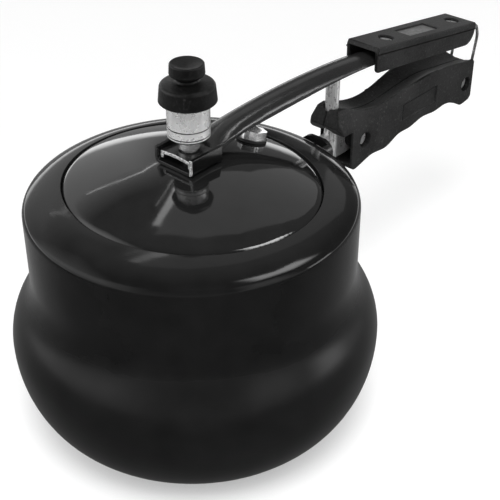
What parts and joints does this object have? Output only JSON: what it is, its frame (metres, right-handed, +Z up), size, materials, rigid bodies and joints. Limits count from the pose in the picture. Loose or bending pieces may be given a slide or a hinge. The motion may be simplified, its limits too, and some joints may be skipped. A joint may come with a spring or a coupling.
{
  "type": "stovetop pressure cooker",
  "caption": "Black bulbous stovetop pressure cooker with an inner lid drawn up by a lever arm, a weight on its steam vent, a safety valve, long handles and a wire lock loop.",
  "frame": {"origin": "centre of the flat base, on the pot's axis", "axes": "+Z up along the pot's axis, +X along the handles, -Y towards the camera's side of the handles"},
  "size_m": [0.3598, 0.2, 0.2055],
  "materials": {
    "satin_black_pot": "hard anodised black, satin on the body and glossy on the deck",
    "polished_black_lid": "hard anodised black, mirror polished",
    "black_enamel": "satin black coat on sheet steel",
    "bakelite": "matte black moulded phenolic with a fine grain",
    "zinc_plate": "bright zinc plate",
    "aluminium_rivet": "plain",
    "polished_steel": "polished turned metal",
    "gasket_rubber": "matte black",
    "grey_plate": "grey foil"
  },
  "bodies": {
    "pot": {"pot_body": "satin_black_pot", "bracket_strap": "black_enamel", "handle_bracket": "zinc_plate", "bracket_rivets": "aluminium_rivet", "fulcrum_post": "zinc_plate", "body_handle_right": "bakelite", "body_handle_left": "bakelite", "body_handle_screws": "zinc_plate", "body_handle_nuts": "zinc_plate"},
    "lever": {"lever": "black_enamel", "lid_handle": "bakelite", "lid_handle_plate": "grey_plate", "lid_handle_screws": "zinc_plate", "lid_handle_nuts": "zinc_plate"},
    "lid": {"lid": "polished_black_lid", "gasket": "gasket_rubber", "lever_bracket": "black_enamel", "steam_vent": "polished_steel", "vent_washer": "gasket_rubber", "vent_nut": "polished_steel", "safety_valve_washer": "gasket_rubber", "safety_valve_body": "polished_steel", "safety_valve_plug": "polished_steel", "safety_valve_nut": "polished_steel"},
    "regulator": {"regulator_weight": "polished_steel", "regulator_needle": "polished_steel", "regulator_clip": "zinc_plate", "regulator_cap": "bakelite"},
    "lock_loop": {"lock_loop": "zinc_plate"}
  },
  "joints": [
    {"name": "lever_lift", "type": "hinge", "parent": "pot", "child": "lever", "pos_m": [0.116, 0, 0.1577], "axis": [0, -1, 0], "range_deg": [0, 4]},
    {"name": "lid_level", "type": "hinge", "parent": "lever", "child": "lid", "pos_m": [-0.0008, 0, 0.1582], "axis": [0, -1, 0], "range_deg": [-4, 0]},
    {"name": "loop_swing", "type": "hinge", "parent": "pot", "child": "lock_loop", "pos_m": [0.244, 0, 0.1108], "axis": [0, 1, 0], "range_deg": [0, 75]},
    {"name": "regulator_lift", "type": "slide", "parent": "lid", "child": "regulator", "axis": [0, 0, 1], "range_m": [0, 0.03]}
  ],
  "couplings": [
    {"joint": "lid_level", "follows": "lever_lift", "ratio": -1},
    {"joint": "loop_swing", "follows": "lever_lift", "ratio": 18.75}
  ]
}
